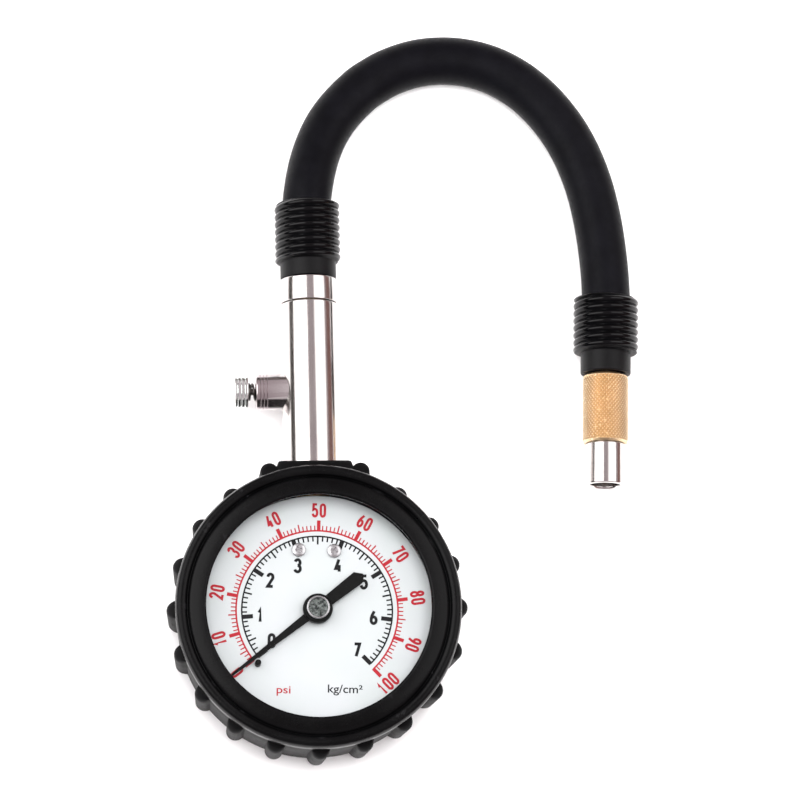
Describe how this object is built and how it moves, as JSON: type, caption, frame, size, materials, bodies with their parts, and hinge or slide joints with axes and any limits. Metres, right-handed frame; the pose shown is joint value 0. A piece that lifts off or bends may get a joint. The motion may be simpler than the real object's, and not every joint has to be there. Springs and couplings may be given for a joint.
{
  "type": "tyre pressure gauge",
  "caption": "Hand-held dial pressure gauge in a lugged rubber boot, with a stem, press-button bleed valve, short rubber hose and push-on valve chuck.",
  "frame": {"origin": "centre of the boot's flat back face, on the dial's axis", "axes": "+Z the way the dial faces, +Y along the stem away from the dial, +X to the right of the dial, towards the chuck"},
  "size_m": [0.131, 0.2035, 0.034],
  "materials": {
    "boot_rubber": "satin moulded rubber",
    "hose_rubber": "smooth matt rubber",
    "sleeve_rubber": "satin moulded rubber",
    "seal_rubber": "matt",
    "chrome": "bright nickel plate, drawn lengthwise",
    "knurled_brass": "diamond knurl",
    "movement_brass": "satin",
    "steel": "turned",
    "case_steel": "black enamel",
    "dial_white": "satin white with printed scales",
    "pointer_black": "satin black",
    "window_clear": "clear"
  },
  "bodies": {
    "gauge": {"protective_boot": "boot_rubber", "case_cup": "case_steel", "bezel_ring": "case_steel", "window_gasket": "seal_rubber", "window_lens": "window_clear", "case_screw_left": "steel", "case_screw_right": "steel", "dial_plate": "dial_white", "dial_screw_left": "steel", "dial_screw_right": "steel", "stop_pin": "steel", "hairspring": "movement_brass", "bourdon_tube": "movement_brass", "movement_plate_lower": "movement_brass", "movement_plate_upper": "movement_brass", "movement_pillar_right": "movement_brass", "movement_pillar_left": "movement_brass", "plate_screw_right": "steel", "plate_screw_left": "steel", "socket_block": "movement_brass", "stem_seal": "seal_rubber", "stem_body": "chrome", "bleed_barrel": "chrome", "bleed_spring": "steel", "stem_nipple": "knurled_brass", "hose_ferrule": "chrome", "stem_sleeve": "sleeve_rubber", "hose": "hose_rubber", "chuck_sleeve": "sleeve_rubber", "chuck_nipple": "knurled_brass", "chuck_body": "knurled_brass", "chuck_nose": "chrome", "chuck_seal": "seal_rubber", "depressor_spring": "steel"},
    "sector": {"sector_gear": "movement_brass"},
    "link": {"link_rod": "steel"},
    "tube_end": {"tube_tip": "movement_brass"},
    "pointer_set": {"pointer": "pointer_black", "pointer_cap": "steel", "pinion_arbor": "steel"},
    "bleed_button": {"bleed_knob": "chrome", "bleed_plunger": "steel", "bleed_seal": "seal_rubber"},
    "depressor": {"valve_depressor": "knurled_brass", "check_seal": "seal_rubber"}
  },
  "joints": [
    {"name": "sector_swing", "type": "hinge", "parent": "gauge", "child": "sector", "pos_m": [-0.004, 0.00917, 0.0148], "axis": [0, 0, 1], "range_deg": [0, 37.7], "stiffness_Nm_per_rad": 0.02, "springref_deg": -8.59, "deforming": ["bourdon_tube", "hairspring"]},
    {"name": "pointer_turn", "type": "hinge", "parent": "gauge", "child": "pointer_set", "pos_m": [0, 0, 0.02], "axis": [0, 0, 1], "range_deg": [-264, 0]},
    {"name": "tip_travel", "type": "hinge", "parent": "gauge", "child": "tube_end", "pos_m": [0.00249, -0.0045, 0.0148], "axis": [0, 0, 1], "range_deg": [0, 9.9]},
    {"name": "link_swing", "type": "hinge", "parent": "sector", "child": "link", "pos_m": [-0.00701, 0.01316, 0.0161], "axis": [0, 0, 1], "range_deg": [-36, 0]},
    {"name": "bleed_press", "type": "slide", "parent": "gauge", "child": "bleed_button", "axis": [1, 0, 0], "range_m": [0, 0.0015], "stiffness_N_per_m": 400, "springref_m": -0.003, "deforming": ["bleed_spring"]},
    {"name": "depressor_press", "type": "slide", "parent": "gauge", "child": "depressor", "axis": [0.0379, 0.9993, 0], "range_m": [0, 0.0015], "stiffness_N_per_m": 400, "springref_m": -0.003, "deforming": ["depressor_spring"]}
  ],
  "couplings": [
    {"joint": "pointer_turn", "follows": "sector_swing", "ratio": -7},
    {"joint": "tip_travel", "follows": "sector_swing", "ratio": 0.26},
    {"joint": "link_swing", "follows": "sector_swing", "ratio": -0.9506}
  ]
}
